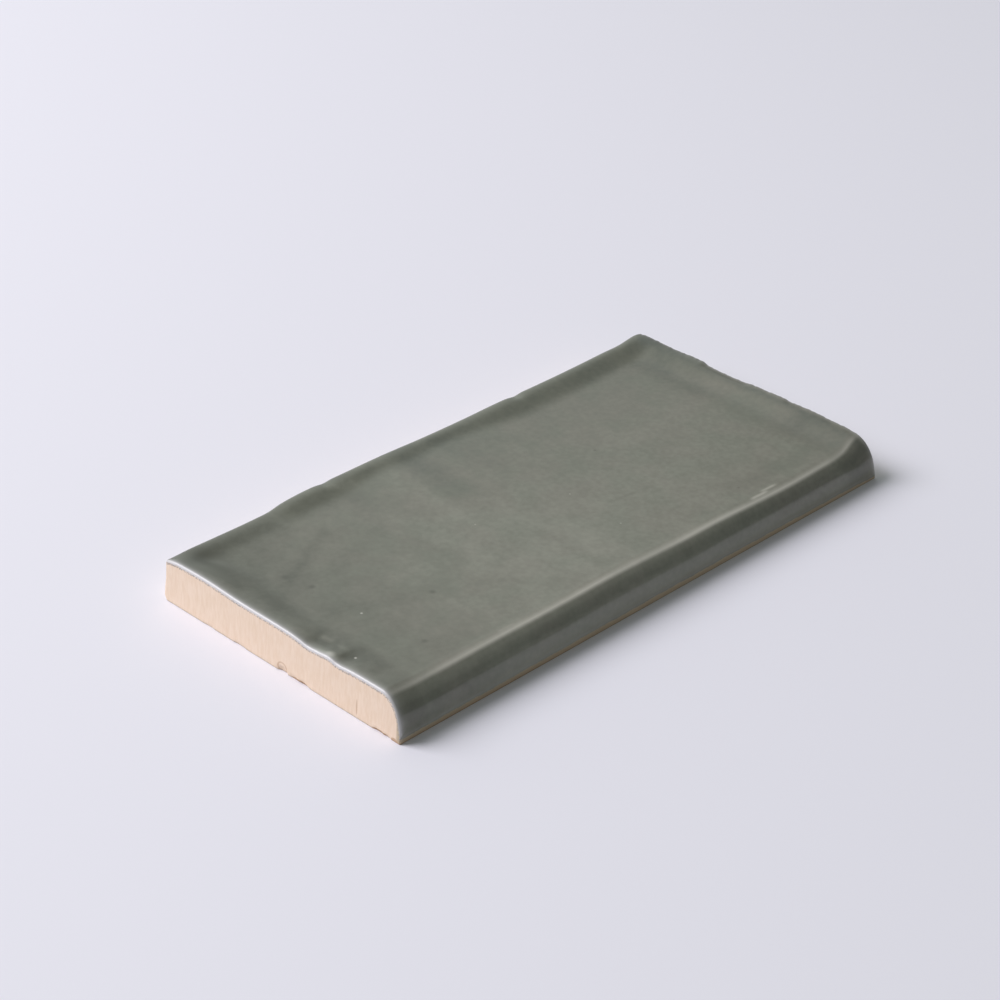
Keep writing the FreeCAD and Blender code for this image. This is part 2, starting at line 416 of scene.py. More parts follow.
class Skin:
    """Collects the points and faces of one closed mesh."""

    def __init__(self) -> None:
        """Starts with no points and no faces."""
        self.points: list[Array] = []
        self.values: list[Array] = []
        self.faces: list[tuple[int, ...]] = []
        self.count = 0

    def add_points(self, places: Array, values: Array) -> Array:
        """Adds points with their surface values.

        Args:
            places: Array of points, with x, y and z last.
            values: Array of the same shape up to its last axis, with the values of each point last.

        Returns:
            The new points' numbers, in the shape of the array.
        """
        shape = places.shape[:-1]
        amount = int(np.prod(shape))
        self.points.append(places.reshape(amount, 3))
        self.values.append(values.reshape(amount, values.shape[-1]))
        numbers = np.arange(self.count, self.count + amount).reshape(shape)
        self.count += amount
        return numbers

    def add_grid(self, numbers: Array, turned: bool = False) -> None:
        """Fills a grid of points with four-sided faces.

        Args:
            numbers: Two-way grid of point numbers.
            turned: Whether the faces look the other way.
        """
        corners = [numbers[:-1, :-1], numbers[1:, :-1], numbers[1:, 1:], numbers[:-1, 1:]]
        if turned:
            corners.reverse()
        self.faces += [tuple(face) for face in np.stack(corners, axis=-1).reshape(-1, 4).tolist()]

    def add_strip(self, outer: Array, inner: Array) -> None:
        """Fills the strip between two lines of points, whose counts may differ, with triangles.

        Args:
            outer: Point numbers of the line on the right of the way along it.
            inner: Point numbers of the line on the left.
        """
        right = 0
        left = 0
        while right < len(outer) - 1 or left < len(inner) - 1:
            next_right = (right + 1) / (len(outer) - 1)
            next_left = (left + 1) / (len(inner) - 1)
            if next_right <= next_left:
                self.faces.append((int(outer[right]), int(inner[left]), int(outer[right + 1])))
                right += 1
            else:
                self.faces.append((int(outer[right]), int(inner[left]), int(inner[left + 1])))
                left += 1

    def mesh(self, name: str, names: tuple[str, ...]) -> bpy.types.Mesh:
        """Makes the mesh, in metres.

        Args:
            name: The mesh's name.
            names: Names of the values that its points carry.

        Returns:
            The new mesh, shaded smooth.
        """
        made = bpy.data.meshes.new(name)
        made.from_pydata((np.concatenate(self.points) * MM).tolist(), [], self.faces)
        values = np.concatenate(self.values)
        for column, title in enumerate(names):
            layer = made.attributes.new(title, "FLOAT", "POINT")
            layer.data.foreach_set("value", values[:, column].astype(np.float32))
        made.shade_smooth()
        made.validate()
        return made


class Ramp(NamedTuple):
    """A smooth change from low to high as a value goes from start to stop."""

    start: float
    stop: float
    low: float = 0.0
    high: float = 1.0


class Grain(NamedTuple):
    """One even noise: its scale to a millimetre, its detail and its seed."""

    scale: float
    detail: float
    seed: float


class Nodes:
    """A hand for building one node tree."""

    def __init__(self, tree: bpy.types.NodeTree) -> None:
        """Takes the tree to build in."""
        self.tree = tree

    def put(self, socket: Socket, value: object) -> None:
        """Links a socket to another node's output, or sets its own value.

        Args:
            socket: The input socket.
            value: An output socket, a plain value, or None to leave the input as it is.
        """
        if isinstance(value, Socket):
            self.tree.links.new(value, socket)
        elif value is not None:
            socket.default_value = value

    def add(
        self, kind: str, inputs: dict[str | int, object] | None = None, **settings: object
    ) -> bpy.types.Node:
        """Adds a node.

        Args:
            kind: The node's type.
            inputs: Values or outputs for its input sockets, by name or number.
            settings: The node's own properties.

        Returns:
            The new node.
        """
        node = self.tree.nodes.new(kind)
        for key, value in settings.items():
            setattr(node, key, value)
        for key, value in (inputs or {}).items():
            self.put(node.inputs[key], value)
        return node

    def math(self, operation: str, first: object, second: object = None, clamp: bool = False) -> Socket:
        """A sum of one or two numbers."""
        node = self.add("ShaderNodeMath", {0: first, 1: second}, operation=operation, use_clamp=clamp)
        return node.outputs[0]

    def times(self, first: object, *others: object) -> Socket:
        """Multiplies numbers.

        Args:
            first: The first number.
            others: The numbers that it is multiplied by.

        Returns:
            Their product.
        """
        for other in others:
            first = self.math("MULTIPLY", first, other)
        return first

    def vector(self, operation: str, first: object, second: object = None) -> bpy.types.Node:
        """A sum of one or two vectors."""
        return self.add("ShaderNodeVectorMath", {0: first, 1: second}, operation=operation)

    def step(self, value: object, ramp: Ramp) -> Socket:
        """How high a ramp is at a value."""
        inputs = dict(enumerate((value, *ramp)))
        return self.add("ShaderNodeMapRange", inputs, interpolation_type="SMOOTHSTEP").outputs[0]

    def scaled(self, place: object, amounts: Stretch) -> Socket:
        """A place stretched by an amount along each axis."""
        return self.vector("MULTIPLY", place, amounts).outputs[0]

    def noise(self, place: object, grain: Grain) -> Socket:
        """Even noise from 0 to 1 round one half."""
        inputs = {"Vector": place, "W": grain.seed, "Scale": grain.scale, "Detail": grain.detail}
        return self.add("ShaderNodeTexNoise", inputs, noise_dimensions="4D").outputs[0]

    def mix(self, share: object, first: object, second: object) -> Socket:
        """A blend of two colours."""
        node = self.add("ShaderNodeMix", {0: share, 6: first, 7: second}, data_type="RGBA")
        return node.outputs[2]

    def attribute(self, name: str) -> Socket:
        """A number that the surface's points carry, for a material."""
        return self.add("ShaderNodeAttribute", attribute_name=name).outputs["Fac"]


class Surface:
    """What the material reads of each place on the tile."""

    def __init__(self, nodes: Nodes) -> None:
        """Adds nodes for the place, in millimetres, and for the values that the points carry.

        Args:
            nodes: The tree being built.
        """
        self.nodes = nodes
        metres = nodes.add("ShaderNodeTexCoord").outputs["Object"]
        self.place = nodes.scaled(metres, (1.0 / MM,) * 3)
        self.x, self.y, self.z = nodes.add("ShaderNodeSeparateXYZ", {0: self.place}).outputs
        self.depth, self.width, self.show, self.ridge, self.pool = map(nodes.attribute, VALUES)


@dataclass(frozen=True)
class Spot:
    """A round mark at a place on the face: a pinhole, iron speck or fleck, a painted glint, or a patch of
    painted shade.
    """

    x: float
    y: float
    reach: float
    strength: float


@dataclass(frozen=True)
class Scar:
    """A brown scar on the near end's bare clay: an oval, filled where its bare share is 0, else a ring."""

    y: float
    z: float
    wide: float
    tall: float
    bare_share: float
    strength: float


@dataclass(frozen=True)
class GlazedClay:
    """The finish: a grey-green glossy glaze that breaks pale on its edges, over peach biscuit, with some
    painted shade and painted light in its colours.
    """

    glaze_warm: Colour = linear(118, 117, 106)
    glaze_green: Colour = linear(114, 116, 104)
    glaze_pool_and_shade: Colour = linear(89, 90, 80)
    glaze_pool_and_shade_far: Colour = linear(86, 90, 82)
    glaze_thin_and_lit: Colour = linear(146, 147, 134)
    glaze_break: Colour = linear(204, 202, 203)
    # Pale colour of the crest's glaze break, which also paints the highlight streaks along the crest.
    ridge: Colour = linear(216, 213, 201)
    fringe: Colour = linear(160, 153, 149)
    fleck_and_glint: Colour = linear(225, 222, 212)
    speck_and_shade: Colour = linear(66, 66, 58)
    biscuit: Colour = linear(234, 212, 190)
    biscuit_pale: Colour = linear(240, 220, 202)
    biscuit_dark: Colour = linear(222, 195, 168)
    # Brown of the scars, which also paints shade low on the front foot; the next colour is painted shade on
    # the clay's bottom edge and front foot.
    biscuit_scar_and_shade: Colour = linear(176, 136, 98)
    biscuit_foot_shade: Colour = linear(188, 170, 144)
    glaze_foot: Colour = linear(106, 97, 76)
    rag_grain: Grain = Grain(1.8, 3.0, 4.0)
    rag_share: float = 0.9
    glaze_edge: Ramp = Ramp(0.02, 0.12)
    front_side: Ramp = Ramp(-36.0, -36.8)
    cloud_grain: Grain = Grain(0.09, 4.0, 1.0)
    cloud_span: Ramp = Ramp(0.35, 0.65)
    warm_across: Ramp = Ramp(32.0, 27.0)
    mottle_grain: Grain = Grain(0.22, 7.0, 8.0)
    mottle_stretch: Stretch = (1.0, 0.8, 1.0)
    mottle_span: Ramp = Ramp(0.25, 0.75, -1.0, 1.0)
    mottle_along: Ramp = Ramp(-75.0, 50.0, 0.16, 0.08)
    freckle_grain: Grain = Grain(0.75, 4.0, 11.0)
    freckle_span: Ramp = Ramp(0.25, 0.75, -0.13, 0.13)
    pool_along: Ramp = Ramp(-50.0, 0.0)
    ridge_span: Ramp = Ramp(0.2, 0.8, 0.9, 1.1)
    foot_tint_up: Ramp = Ramp(3.4, 1.2, 0.0, 0.45)
    foot_tint_along: Ramp = Ramp(-55.0, 10.0)
    break_start: float = 0.65
    break_fall: float = 2.05
    break_soft: float = 0.9
    break_sharp: Ramp = Ramp(1.1, 0.8)
    drag_grain: Grain = Grain(1.8, 4.0, 2.0)
    drag_stretch: Stretch = (1.0, 1.0, 0.2)
    drag_span: Ramp = Ramp(0.3, 0.7)
    tooth_grain: Grain = Grain(3.0, 3.0, 3.0)
    tooth_span: Ramp = Ramp(0.6, 0.8, 0.0, 0.2)
    biscuit_even: float = 0.62
    foot_up: Ramp = Ramp(0.5, 0.1, 0.0, 0.6)
    foot_shade_along: Ramp = Ramp(10.0, -50.0, 0.0, 0.85)
    crumb_grain: Grain = Grain(3.0, 2.0, 9.0)
    crumb_span: Ramp = Ramp(0.42, 0.55, 0.1, 1.0)
    fringe_span: Ramp = Ramp(-0.5, -0.1)
    gloss_grain: Grain = Grain(0.4, 3.0, 5.0)
    gloss_span: Ramp = Ramp(0.3, 0.7, 0.9, 1.1)
    peel_grain: Grain = Grain(0.8, 2.0, 6.0)
    peel_share: float = 0.15
    bump_strength: float = 0.35
    bump_height: float = 0.05
    near_end: Ramp = Ramp(-73.0, -74.0)
    scar_core: float = 0.7
    scar_rim: float = 0.2
    glaze_roughness: float = 0.13
    break_roughness: float = 0.25
    biscuit_roughness: float = 0.85
    glaze_index: float = 1.5
    specks_and_shade: tuple[Spot, ...] = tuple(Spot(*row) for row in (
        # The dark spot at (-69.8, 32.0) is painted shade in the near back corner; the rest are iron specks
        # and pinholes.
        (-69.8, 32.0, 5.5, 0.45), (-60.0, 14.5, 1.6, 0.45), (-58.5, 7.5, 1.3, 0.5), (-42.0, -12.0, 1.2, 0.45),
        (-56.0, -24.5, 1.2, 0.4), (26.0, 6.0, 0.6, 0.4), (37.0, -28.0, 0.6, 0.35),
    ))
    flecks_and_glints: tuple[Spot, ...] = tuple(Spot(*row) for row in (
        # The pale spots at (-70.0, -19.2) and (-73.2, -15.0) are a painted glint on a pit and painted light
        # on a lump's top; the rest are flecks.
        (-58.0, -7.6, 0.42, 0.55), (-70.0, -19.2, 0.45, 0.6), (-73.2, -15.0, 1.6, 0.35),
        (7.5, -4.0, 0.35, 0.25), (6.5, -20.5, 0.35, 0.25), (-17.0, 1.0, 0.35, 0.2),
    ))
    scars: tuple[Scar, ...] = tuple(Scar(*row) for row in (
        (-1.6, 1.1, 1.8, 1.5, 0.78, 0.6), (-24.6, 2.7, 0.22, 2.2, 0.0, 0.5), (-7.0, 0.1, 3.0, 0.7, 0.0, 0.85),
        (-31.5, 0.1, 2.6, 0.7, 0.0, 0.85), (-35.8, 0.2, 1.2, 0.8, 0.0, 0.6),
    ))

    @staticmethod
    def spots(look: Surface, spots: tuple[Spot, ...]) -> Socket:
        """How strongly the spots cover each place.

        Args:
            look: The surface that the material reads.
            spots: The spots to place.

        Returns:
            A cover from 0 to 1.
        """
        nodes = look.nodes
        flat = nodes.scaled(look.place, (1.0, 1.0, 0.0))
        cover = 0.0
        for spot in spots:
            away = nodes.vector("DISTANCE", flat, (spot.x, spot.y, 0.0)).outputs["Value"]
            mark = nodes.step(away, Ramp(spot.reach, 0.0, 0.0, spot.strength))
            cover = nodes.math("MAXIMUM", cover, mark)
        return cover

    def end_marks(self, look: Surface) -> Socket:
        """How strongly the scars mark each place of the near end.

        Args:
            look: The surface that the material reads.

        Returns:
            A cover from 0 to 1.
        """
        nodes = look.nodes
        cover = 0.0
        for scar in self.scars:
            across = nodes.math("DIVIDE", nodes.math("SUBTRACT", look.y, scar.y), scar.wide)
            up = nodes.math("DIVIDE", nodes.math("SUBTRACT", look.z, scar.z), scar.tall)
            oval = nodes.add("ShaderNodeCombineXYZ", {0: across, 1: up}).outputs[0]
            away = nodes.vector("LENGTH", oval).outputs["Value"]
            mark = nodes.step(away, Ramp(1.0, self.scar_core, 0.0, scar.strength))
            if scar.bare_share:
                ring = Ramp(scar.bare_share - self.scar_rim, scar.bare_share)
                mark = nodes.times(mark, nodes.step(away, ring))
            cover = nodes.math("MAXIMUM", cover, mark)
        return nodes.times(cover, nodes.step(look.x, self.near_end))

    def breaking(self, look: Surface) -> Socket:
        """How thinly the glaze is drawn over an edge.

        Args:
            look: The surface that the material reads.

        Returns:
            A share from 0 to 1.
        """
        nodes = look.nodes
        past = nodes.math("SUBTRACT", look.depth, self.break_start)
        soft = nodes.math("EXPONENT", nodes.times(past, -self.break_fall))
        soft = nodes.math("MULTIPLY", soft, self.break_soft, clamp=True)
        sharp = nodes.step(nodes.math("DIVIDE", look.depth, look.width), self.break_sharp)
        return nodes.times(nodes.math("MAXIMUM", soft, sharp), look.show)

    def glaze(self, look: Surface, front: Socket, breaking: Socket) -> Socket:
        """Colour of the glaze.

        Args:
            look: The surface that the material reads.
            front: Share of the tile's front.
            breaking: How thinly the glaze is drawn over an edge.

        Returns:
            The colour at each place.
        """
        nodes = look.nodes
        cloud = nodes.noise(look.place, self.cloud_grain)
        warm = nodes.times(nodes.step(cloud, self.cloud_span), nodes.step(look.y, self.warm_across))
        colour = nodes.mix(warm, self.glaze_green, self.glaze_warm)
        mottle = nodes.noise(nodes.scaled(look.place, self.mottle_stretch), self.mottle_grain)
        cast = nodes.times(nodes.step(mottle, self.mottle_span), nodes.step(look.x, self.mottle_along))
        freckle = nodes.step(nodes.noise(look.place, self.freckle_grain), self.freckle_span)
        # Pooled glaze darkens and thin glaze lightens; the same values carry painted shade and painted light.
        pool = nodes.math("ADD", look.pool, nodes.math("ADD", cast, freckle))
        deep_and_shaded = nodes.mix(nodes.step(look.x, self.pool_along), self.glaze_pool_and_shade, self.glaze_pool_and_shade_far)
        colour = nodes.mix(pool, colour, deep_and_shaded)
        colour = nodes.mix(nodes.times(pool, -1.0), colour, self.glaze_thin_and_lit)
        # Iron specks and pinholes, with painted shade in the near back corner.
        colour = nodes.mix(self.spots(look, self.specks_and_shade), colour, self.speck_and_shade)
        # Flecks, with a painted glint and painted light on a lump's top.
        colour = nodes.mix(self.spots(look, self.flecks_and_glints), colour, self.fleck_and_glint)
        # The crest's pale glaze break and its painted highlight streaks.
        ridge = nodes.times(look.ridge, nodes.step(cloud, self.ridge_span))
        colour = nodes.mix(ridge, colour, self.ridge)
        # Browner glaze low on the front, towards the foot, fading out towards the near end.
        foot_tint = nodes.times(nodes.step(look.z, self.foot_tint_up), front, nodes.step(look.x, self.foot_tint_along))
        colour = nodes.mix(foot_tint, colour, self.glaze_foot)
        return nodes.mix(breaking, colour, self.glaze_break)

    def bare_clay(self, look: Surface, front: Socket, edge: Socket, drag: Socket, tooth: Socket) -> Socket:
        """Colour of the bare clay.

        Args:
            look: The surface that the material reads.
            front: Share of the tile's front.
            edge: Distance past the glaze's ragged edge.
            drag: Noise of the drag marks.
            tooth: Noise of the clay's grain.

        Returns:
            The colour at each place.
        """
        nodes = look.nodes
        colour = nodes.mix(nodes.step(drag, self.drag_span), self.biscuit_dark, self.biscuit_pale)
        colour = nodes.mix(self.biscuit_even, colour, self.biscuit)
        colour = nodes.mix(nodes.step(tooth, self.tooth_span), colour, self.biscuit_dark)
        # Painted shade: the bare clay darker along its lowest half-millimetre and on the front foot under the
        # nose, and browner still low on the front foot towards the near end.
        low = nodes.step(look.z, self.foot_up)
        colour = nodes.mix(nodes.math("MAXIMUM", low, front), colour, self.biscuit_foot_shade)
        foot_shade = nodes.times(nodes.step(look.x, self.foot_shade_along), front, low)
        colour = nodes.mix(foot_shade, colour, self.biscuit_scar_and_shade)
        colour = nodes.mix(self.end_marks(look), colour, self.biscuit_scar_and_shade)
        crumbs = nodes.step(nodes.noise(look.place, self.crumb_grain), self.crumb_span)
        skirt = nodes.times(nodes.step(edge, self.fringe_span), look.show, crumbs)
        return nodes.mix(skirt, colour, self.fringe)

    def material(self) -> bpy.types.Material:
        """Builds the material.

        Returns:
            One procedural material for glaze and biscuit.
        """
        made = bpy.data.materials.new("glazed_clay")
        made.use_nodes = True
        shader = made.node_tree.nodes["Principled BSDF"]
        nodes = Nodes(made.node_tree)
        look = Surface(nodes)
        front = nodes.step(look.y, self.front_side)
        ragged = nodes.math("SUBTRACT", nodes.noise(look.place, self.rag_grain), NOISE_MIDDLE)
        edge = nodes.math("ADD", look.depth, nodes.times(ragged, self.rag_share, look.width))
        glazed = nodes.step(edge, self.glaze_edge)
        breaking = self.breaking(look)
        drag = nodes.noise(nodes.scaled(look.place, self.drag_stretch), self.drag_grain)
        tooth = nodes.noise(look.place, self.tooth_grain)
        glaze = self.glaze(look, front, breaking)
        clay = self.bare_clay(look, front, edge, drag, tooth)
        nodes.put(shader.inputs["Base Color"], nodes.mix(glazed, clay, glaze))

        gloss = nodes.step(nodes.noise(look.place, self.gloss_grain), self.gloss_span)
        gloss = nodes.times(gloss, self.glaze_roughness)
        gloss = nodes.math("ADD", gloss, nodes.times(breaking, self.break_roughness))
        change = nodes.times(glazed, nodes.math("SUBTRACT", gloss, self.biscuit_roughness))
        nodes.put(shader.inputs["Roughness"], nodes.math("ADD", change, self.biscuit_roughness))

        peel = nodes.times(nodes.noise(look.place, self.peel_grain), glazed, self.peel_share)
        bare = nodes.math("SUBTRACT", 1.0, glazed)
        height = nodes.math("ADD", peel, nodes.times(nodes.math("ADD", drag, tooth), bare))
        inputs = {"Height": height, "Strength": self.bump_strength, "Distance": self.bump_height * MM}
        nodes.put(shader.inputs["Normal"], nodes.add("ShaderNodeBump", inputs).outputs[0])
        shader.inputs["IOR"].default_value = self.glaze_index
        return made


@dataclass(frozen=True)
class FiredRelief:
    """Fine relief that follows the surface: ripple in the glaze, drag marks and grain on bare clay."""

    ripple_height: float = 0.05
    ripple_size: float = 14.0
    drag_depth: float = 0.06
    drag_width: float = 1.6
    grain_height: float = 0.04
    grain_size: float = 0.9
    seed: float = 7.0
    ripple_detail: float = 1.0
    drag_detail: float = 3.0
    grain_detail: float = 2.0
    drag_stretch: Stretch = (1.0, 1.0, 0.05)
    glazed_span: Ramp = Ramp(0.0, 1.5)
    bare_span: Ramp = Ramp(-0.2, -0.7)
    off_floor: Ramp = Ramp(0.1 * MM, 0.8 * MM)

    def sizes(self) -> dict[str, float]:
        """Names the tree's inputs.

        Returns:
            The value of each input, lengths in metres.
        """
        lengths = {
            "Ripple Height": self.ripple_height,
            "Ripple Size": self.ripple_size,
            "Drag Depth": self.drag_depth,
            "Drag Width": self.drag_width,
            "Grain Height": self.grain_height,
            "Grain Size": self.grain_size,
        }
        return {**{name: length * MM for name, length in lengths.items()}, "Seed": self.seed}

    def tree(self) -> bpy.types.NodeTree:
        """Builds the node tree.

        Returns:
            A tree that lifts each point along its normal and sets the material.
        """
        tree = bpy.data.node_groups.new("fired_relief", "GeometryNodeTree")
        kinds = {"Geometry": "Geometry", **dict.fromkeys(self.sizes(), "Float"), "Material": "Material"}
        for name, kind in kinds.items():
            tree.interface.new_socket(name, in_out="INPUT", socket_type=f"NodeSocket{kind}")
        tree.interface.new_socket("Geometry", in_out="OUTPUT", socket_type="NodeSocketGeometry")
        nodes = Nodes(tree)
        given = nodes.add("NodeGroupInput").outputs
        place = nodes.add("GeometryNodeInputPosition").outputs[0]
        normal = nodes.add("GeometryNodeInputNormal").outputs[0]
        depth = nodes.add("GeometryNodeInputNamedAttribute", {"Name": DEPTH}, data_type="FLOAT").outputs[0]

        def swell(size: str, height: str, detail: float, stretch: Stretch = (1.0, 1.0, 1.0)) -> Socket:
            """Adds noise that lifts as much as it sinks.

            Args:
                size: Name of the input that gives the noise's size.
                height: Name of the input that gives its height.
                detail: The noise's detail.
                stretch: Amount that its place is scaled by along each axis.

            Returns:
                The lift at each point.
            """
            noise = nodes.noise(nodes.scaled(place, stretch), Grain(1.0, detail, 0.0))
            nodes.put(noise.node.inputs["Scale"], nodes.math("DIVIDE", 1.0, given[size]))
            nodes.put(noise.node.inputs["W"], given["Seed"])
            return nodes.times(nodes.math("SUBTRACT", noise, NOISE_MIDDLE), given[height])

        ripple = swell("Ripple Size", "Ripple Height", self.ripple_detail)
        ripple = nodes.times(ripple, nodes.step(depth, self.glazed_span))
        drag = swell("Drag Width", "Drag Depth", self.drag_detail, self.drag_stretch)
        grain = swell("Grain Size", "Grain Height", self.grain_detail)
        rough = nodes.times(nodes.math("ADD", drag, grain), nodes.step(depth, self.bare_span))
        height = nodes.add("ShaderNodeSeparateXYZ", {0: place}).outputs[2]
        lift = nodes.times(nodes.math("ADD", ripple, rough), nodes.step(height, self.off_floor))
        shift = nodes.add("ShaderNodeVectorMath", {0: normal, "Scale": lift}, operation="SCALE").outputs[0]
        moved = nodes.add("GeometryNodeSetPosition", {"Geometry": given["Geometry"], "Offset": shift})
        whole = nodes.add("GeometryNodeRealizeInstances", {0: moved.outputs[0]})
        dressed = nodes.add("GeometryNodeSetMaterial", {0: whole.outputs[0], "Material": given["Material"]})
        nodes.add("NodeGroupOutput", {0: dressed.outputs[0]})
        return tree

    def apply(self, piece: bpy.types.Object, material: bpy.types.Material) -> None:
        """Runs the tree on a piece and leaves it a plain mesh.

        Args:
            piece: The object to work on.
            material: The material that its faces get.
        """
        modifier = piece.modifiers.new("fired_relief", "NODES")
        modifier.node_group = self.tree()
        values = dict(self.sizes(), Material=material)
        for item in modifier.node_group.interface.items_tree:
            if item.in_out == "INPUT" and item.name in values:
                modifier[item.identifier] = values[item.name]
        depsgraph = bpy.context.evaluated_depsgraph_get()
        made = bpy.data.meshes.new_from_object(
            piece.evaluated_get(depsgraph), preserve_all_data_layers=True, depsgraph=depsgraph
        )
        piece.modifiers.remove(modifier)
        piece.data = made


@dataclass(frozen=True)
class Chip:
    """A flake missing from the lower edge of the near end."""

    y: float
    reach: float
    height: float
    bite: float


class CrestHighlight(NamedTuple):
    """A painted highlight along the crest: where it starts and stops, how far over the nose, and strength."""

    first: float
    last: float
    line: float
    strength: float


@dataclass
class BullnoseTile:
    """One pressed, glazed and trimmed tile with a bullnose along its front."""

    half_length: float
    front: float
    back: float
    top: float
    nose_reach: Sweep = Sweep((
        (-75, 5.8), (-60, 5.8), (-40, 5.75), (-20, 5.55), (0, 5.65), (12, 5.4), (25, 5.3), (37, 5.05),
        (50, 4.75), (57, 4.87), (62, 5.0), (66, 5.5), (70, 6.35), (75, 7.0),
    ))
    nose_base: Sweep = Sweep(((-75, 2.0), (45, 2.0), (62, 1.75), (75, 1.3)))
    foot_inset: float = 0.04
    glaze_line: Sweep = Sweep(((-75, 1.15), (45, 1.15), (62, 0.95), (75, 0.6)))
    glaze_line_wave: float = 0.05
    glaze_line_waves: tuple[Wave, ...] = (Wave(0.31, 1.0), Wave(0.83, 2.0), Wave(2.1, 0.0, 0.6))
    bead: float = 0.22
    bead_reach: float = 1.5
    trim_lean: float = 0.6
    trim_flare: float = 1.6
    foot_bevel: float = 0.15
    face_arris: float = 0.65
    nose_arris: float = 0.5
    back_arris: float = 0.7
    foot_arris: float = 0.3
    corner_ease: float = 0.25
    nose_blend: float = 0.6
    foot_blend_rows: int = 3
    end_line: float = 0.95
    nose_line: float = 0.75
    far_line: float = 0.6
    back_line: float = 0.22
    foot_line: float = 0.25
    corner_reach: float = 4.0
    corner_rub: float = 1.0
    corner_rub_height: float = 1.3
    corner_rub_power: float = 1.5
    corner_lean: float = 0.22
    corner_lean_start: float = 3.0
    corner_lean_rise: float = 3.0
    ridge: Sweep = Sweep((
        (-75, 0.25), (-60, 0.62), (-40, 0.76), (-20, 0.74), (0, 0.72), (20, 0.86), (40, 0.8), (55, 0.68),
        (65, 0.5), (70, 0.36), (75, 0.12),
    ))
    # Painted light just under the crest (tail) and painted shade lower down the nose (shade), both carried as
    # glaze depth.
    tail_painted_light: Sweep = Sweep((
        (-75, -0.4), (-60, -0.45), (-40, -0.25), (-20, -0.1), (0, -0.15), (20, -0.05), (75, 0.0),
    ))
    tail_start: float = 2.0
    tail_stop: float = 5.6
    shade: Sweep = Sweep(((-75, -0.1), (-60, -0.12), (-40, 0.25), (0, 0.22), (40, 0.2), (75, 0.2)))
    shade_start: float = 3.4
    shade_stop: float = 6.6
    # The glaze is paler towards the front foot.
    foot_pale: Sweep = Sweep(((-75, -0.5), (-50, -0.6), (0, -0.75), (40, -0.8), (75, -0.55)))
    foot_fade: float = 3.2
    ridge_start: float = -1.5
    ridge_peak: Sweep = Sweep((
        (-75, 1.9), (-60, 1.9), (-40, 1.75), (-20, 1.65), (0, 1.9), (20, 1.75), (40, 1.85), (55, 1.65),
        (65, 1.75), (75, 1.8),
    ))
    ridge_fall: float = 1.1
    ridge_power: Sweep = Sweep((
        (-75, 3.5), (-60, 3.2), (-40, 3.2), (-20, 4.0), (0, 3.4), (20, 4.1), (40, 5.0), (55, 5.0), (65, 3.6),
        (75, 4.0),
    ))
    # Painted highlights along the crest, drawn in the crest's pale colour.
    crest_highlights: tuple[CrestHighlight, ...] = (
        CrestHighlight(38.5, 45.0, 0.1, 0.33), CrestHighlight(34.5, 41.5, 0.8, 0.5), CrestHighlight(-43.5, -37.5, 0.7, 0.1),
    )
    highlight_width: float = 0.3
    highlight_fade: float = 2.0
    columns: int = 300
    foot_rows: int = 4
    bead_rows: int = 7
    nose_rows: int = 26
    face_rows: int = 150
    arris_rows: int = 6
    wall_rows: int = 13
    wall_crowding: float = 1.4
    underside_grid: tuple[int, int] = (40, 20)
    underside_margin: float = 3.0
    chips: tuple[Chip, ...] = tuple(Chip(*row) for row in (
        (-1.8, 1.6, 1.5, 0.5), (-5.2, 1.6, 0.8, 0.25), (-8.2, 1.8, 0.7, 0.35), (-31.0, 1.5, 0.7, 0.3),
        (-33.6, 1.2, 0.6, 0.25), (12.0, 2.0, 0.5, 0.2), (22.0, 1.6, 0.5, 0.15),
    ))

    def __post_init__(self) -> None:
        """Sets the face's relief between the trimmed edges."""
        inner = self.trim_lean + self.face_arris
        self.relief = FaceRelief(self.half_length - inner, self.back - self.trim_lean - self.back_arris)

    def inset(self, z: Array) -> Array:
        """How far the trimmed sides lean in at each height, with a slight flare and bevel at the foot."""
        share = np.clip(1.0 - z / self.top, 0.0, 1.0)
        return self.trim_lean * (1.0 - share**self.trim_flare) + np.clip(self.foot_bevel - z, 0.0, None)

    def glaze_stop(self, x: Array) -> Array:
        """Height where the glaze stops on the front, which wanders a little along the tile."""
        return self.glaze_line.at(x) + self.glaze_line_wave * wander(self.glaze_line_waves, x)

    def glaze_row(self, zones: dict[Zone, slice]) -> int:
        """Number of the row where the glaze stops on the front."""
        return zones[Zone.FOOT].stop - self.bead_rows // 2 - 1

    def section(self, x: Array) -> tuple[dict[Zone, slice], Array, Array]:
        """Works out the tile's section at each station, from the front foot to the back foot.

        Args:
            x: Stations along the tile.

        Returns:
            The rows of each zone, then y and z of each row at each station.
        """
        station = x[:, None]
        stop = self.glaze_stop(station)
        beside = self.bead * self.bead_reach
        foot_z = np.linspace(0.0, 1.0, self.foot_rows + 1)[:-1] * (stop - beside)
        bead_z = stop + np.linspace(-beside, beside, self.bead_rows)
        low_z = np.concatenate([foot_z, bead_z], axis=1)
        low_y = self.front + self.foot_inset * (1.0 - ease((low_z - stop) / (2.0 * self.bead) + 0.5))
        low_y += np.clip(self.foot_bevel / 2.0 - low_z, 0.0, None)

        reach = self.nose_reach.at(station)
        nose_top = self.front + reach
        crest = self.relief.height(station, nose_top)
        turn = np.linspace(0.0, QUARTER_TURN, self.nose_rows + 1)[None, :-1]
        nose_y = nose_top - reach * np.cos(turn)
        base = np.maximum(self.nose_base.at(station), low_z[:, -1:] + self.bead / 2.0)
        nose_z = base + (crest - base) * np.sin(turn)

        rim = np.full_like(station, self.relief.back)
        share = np.linspace(0.0, 1.0, self.face_rows)[None, :]
        face_y = nose_top + (rim - nose_top) * share
        face_z = self.relief.height(station + 0.0 * share, face_y)

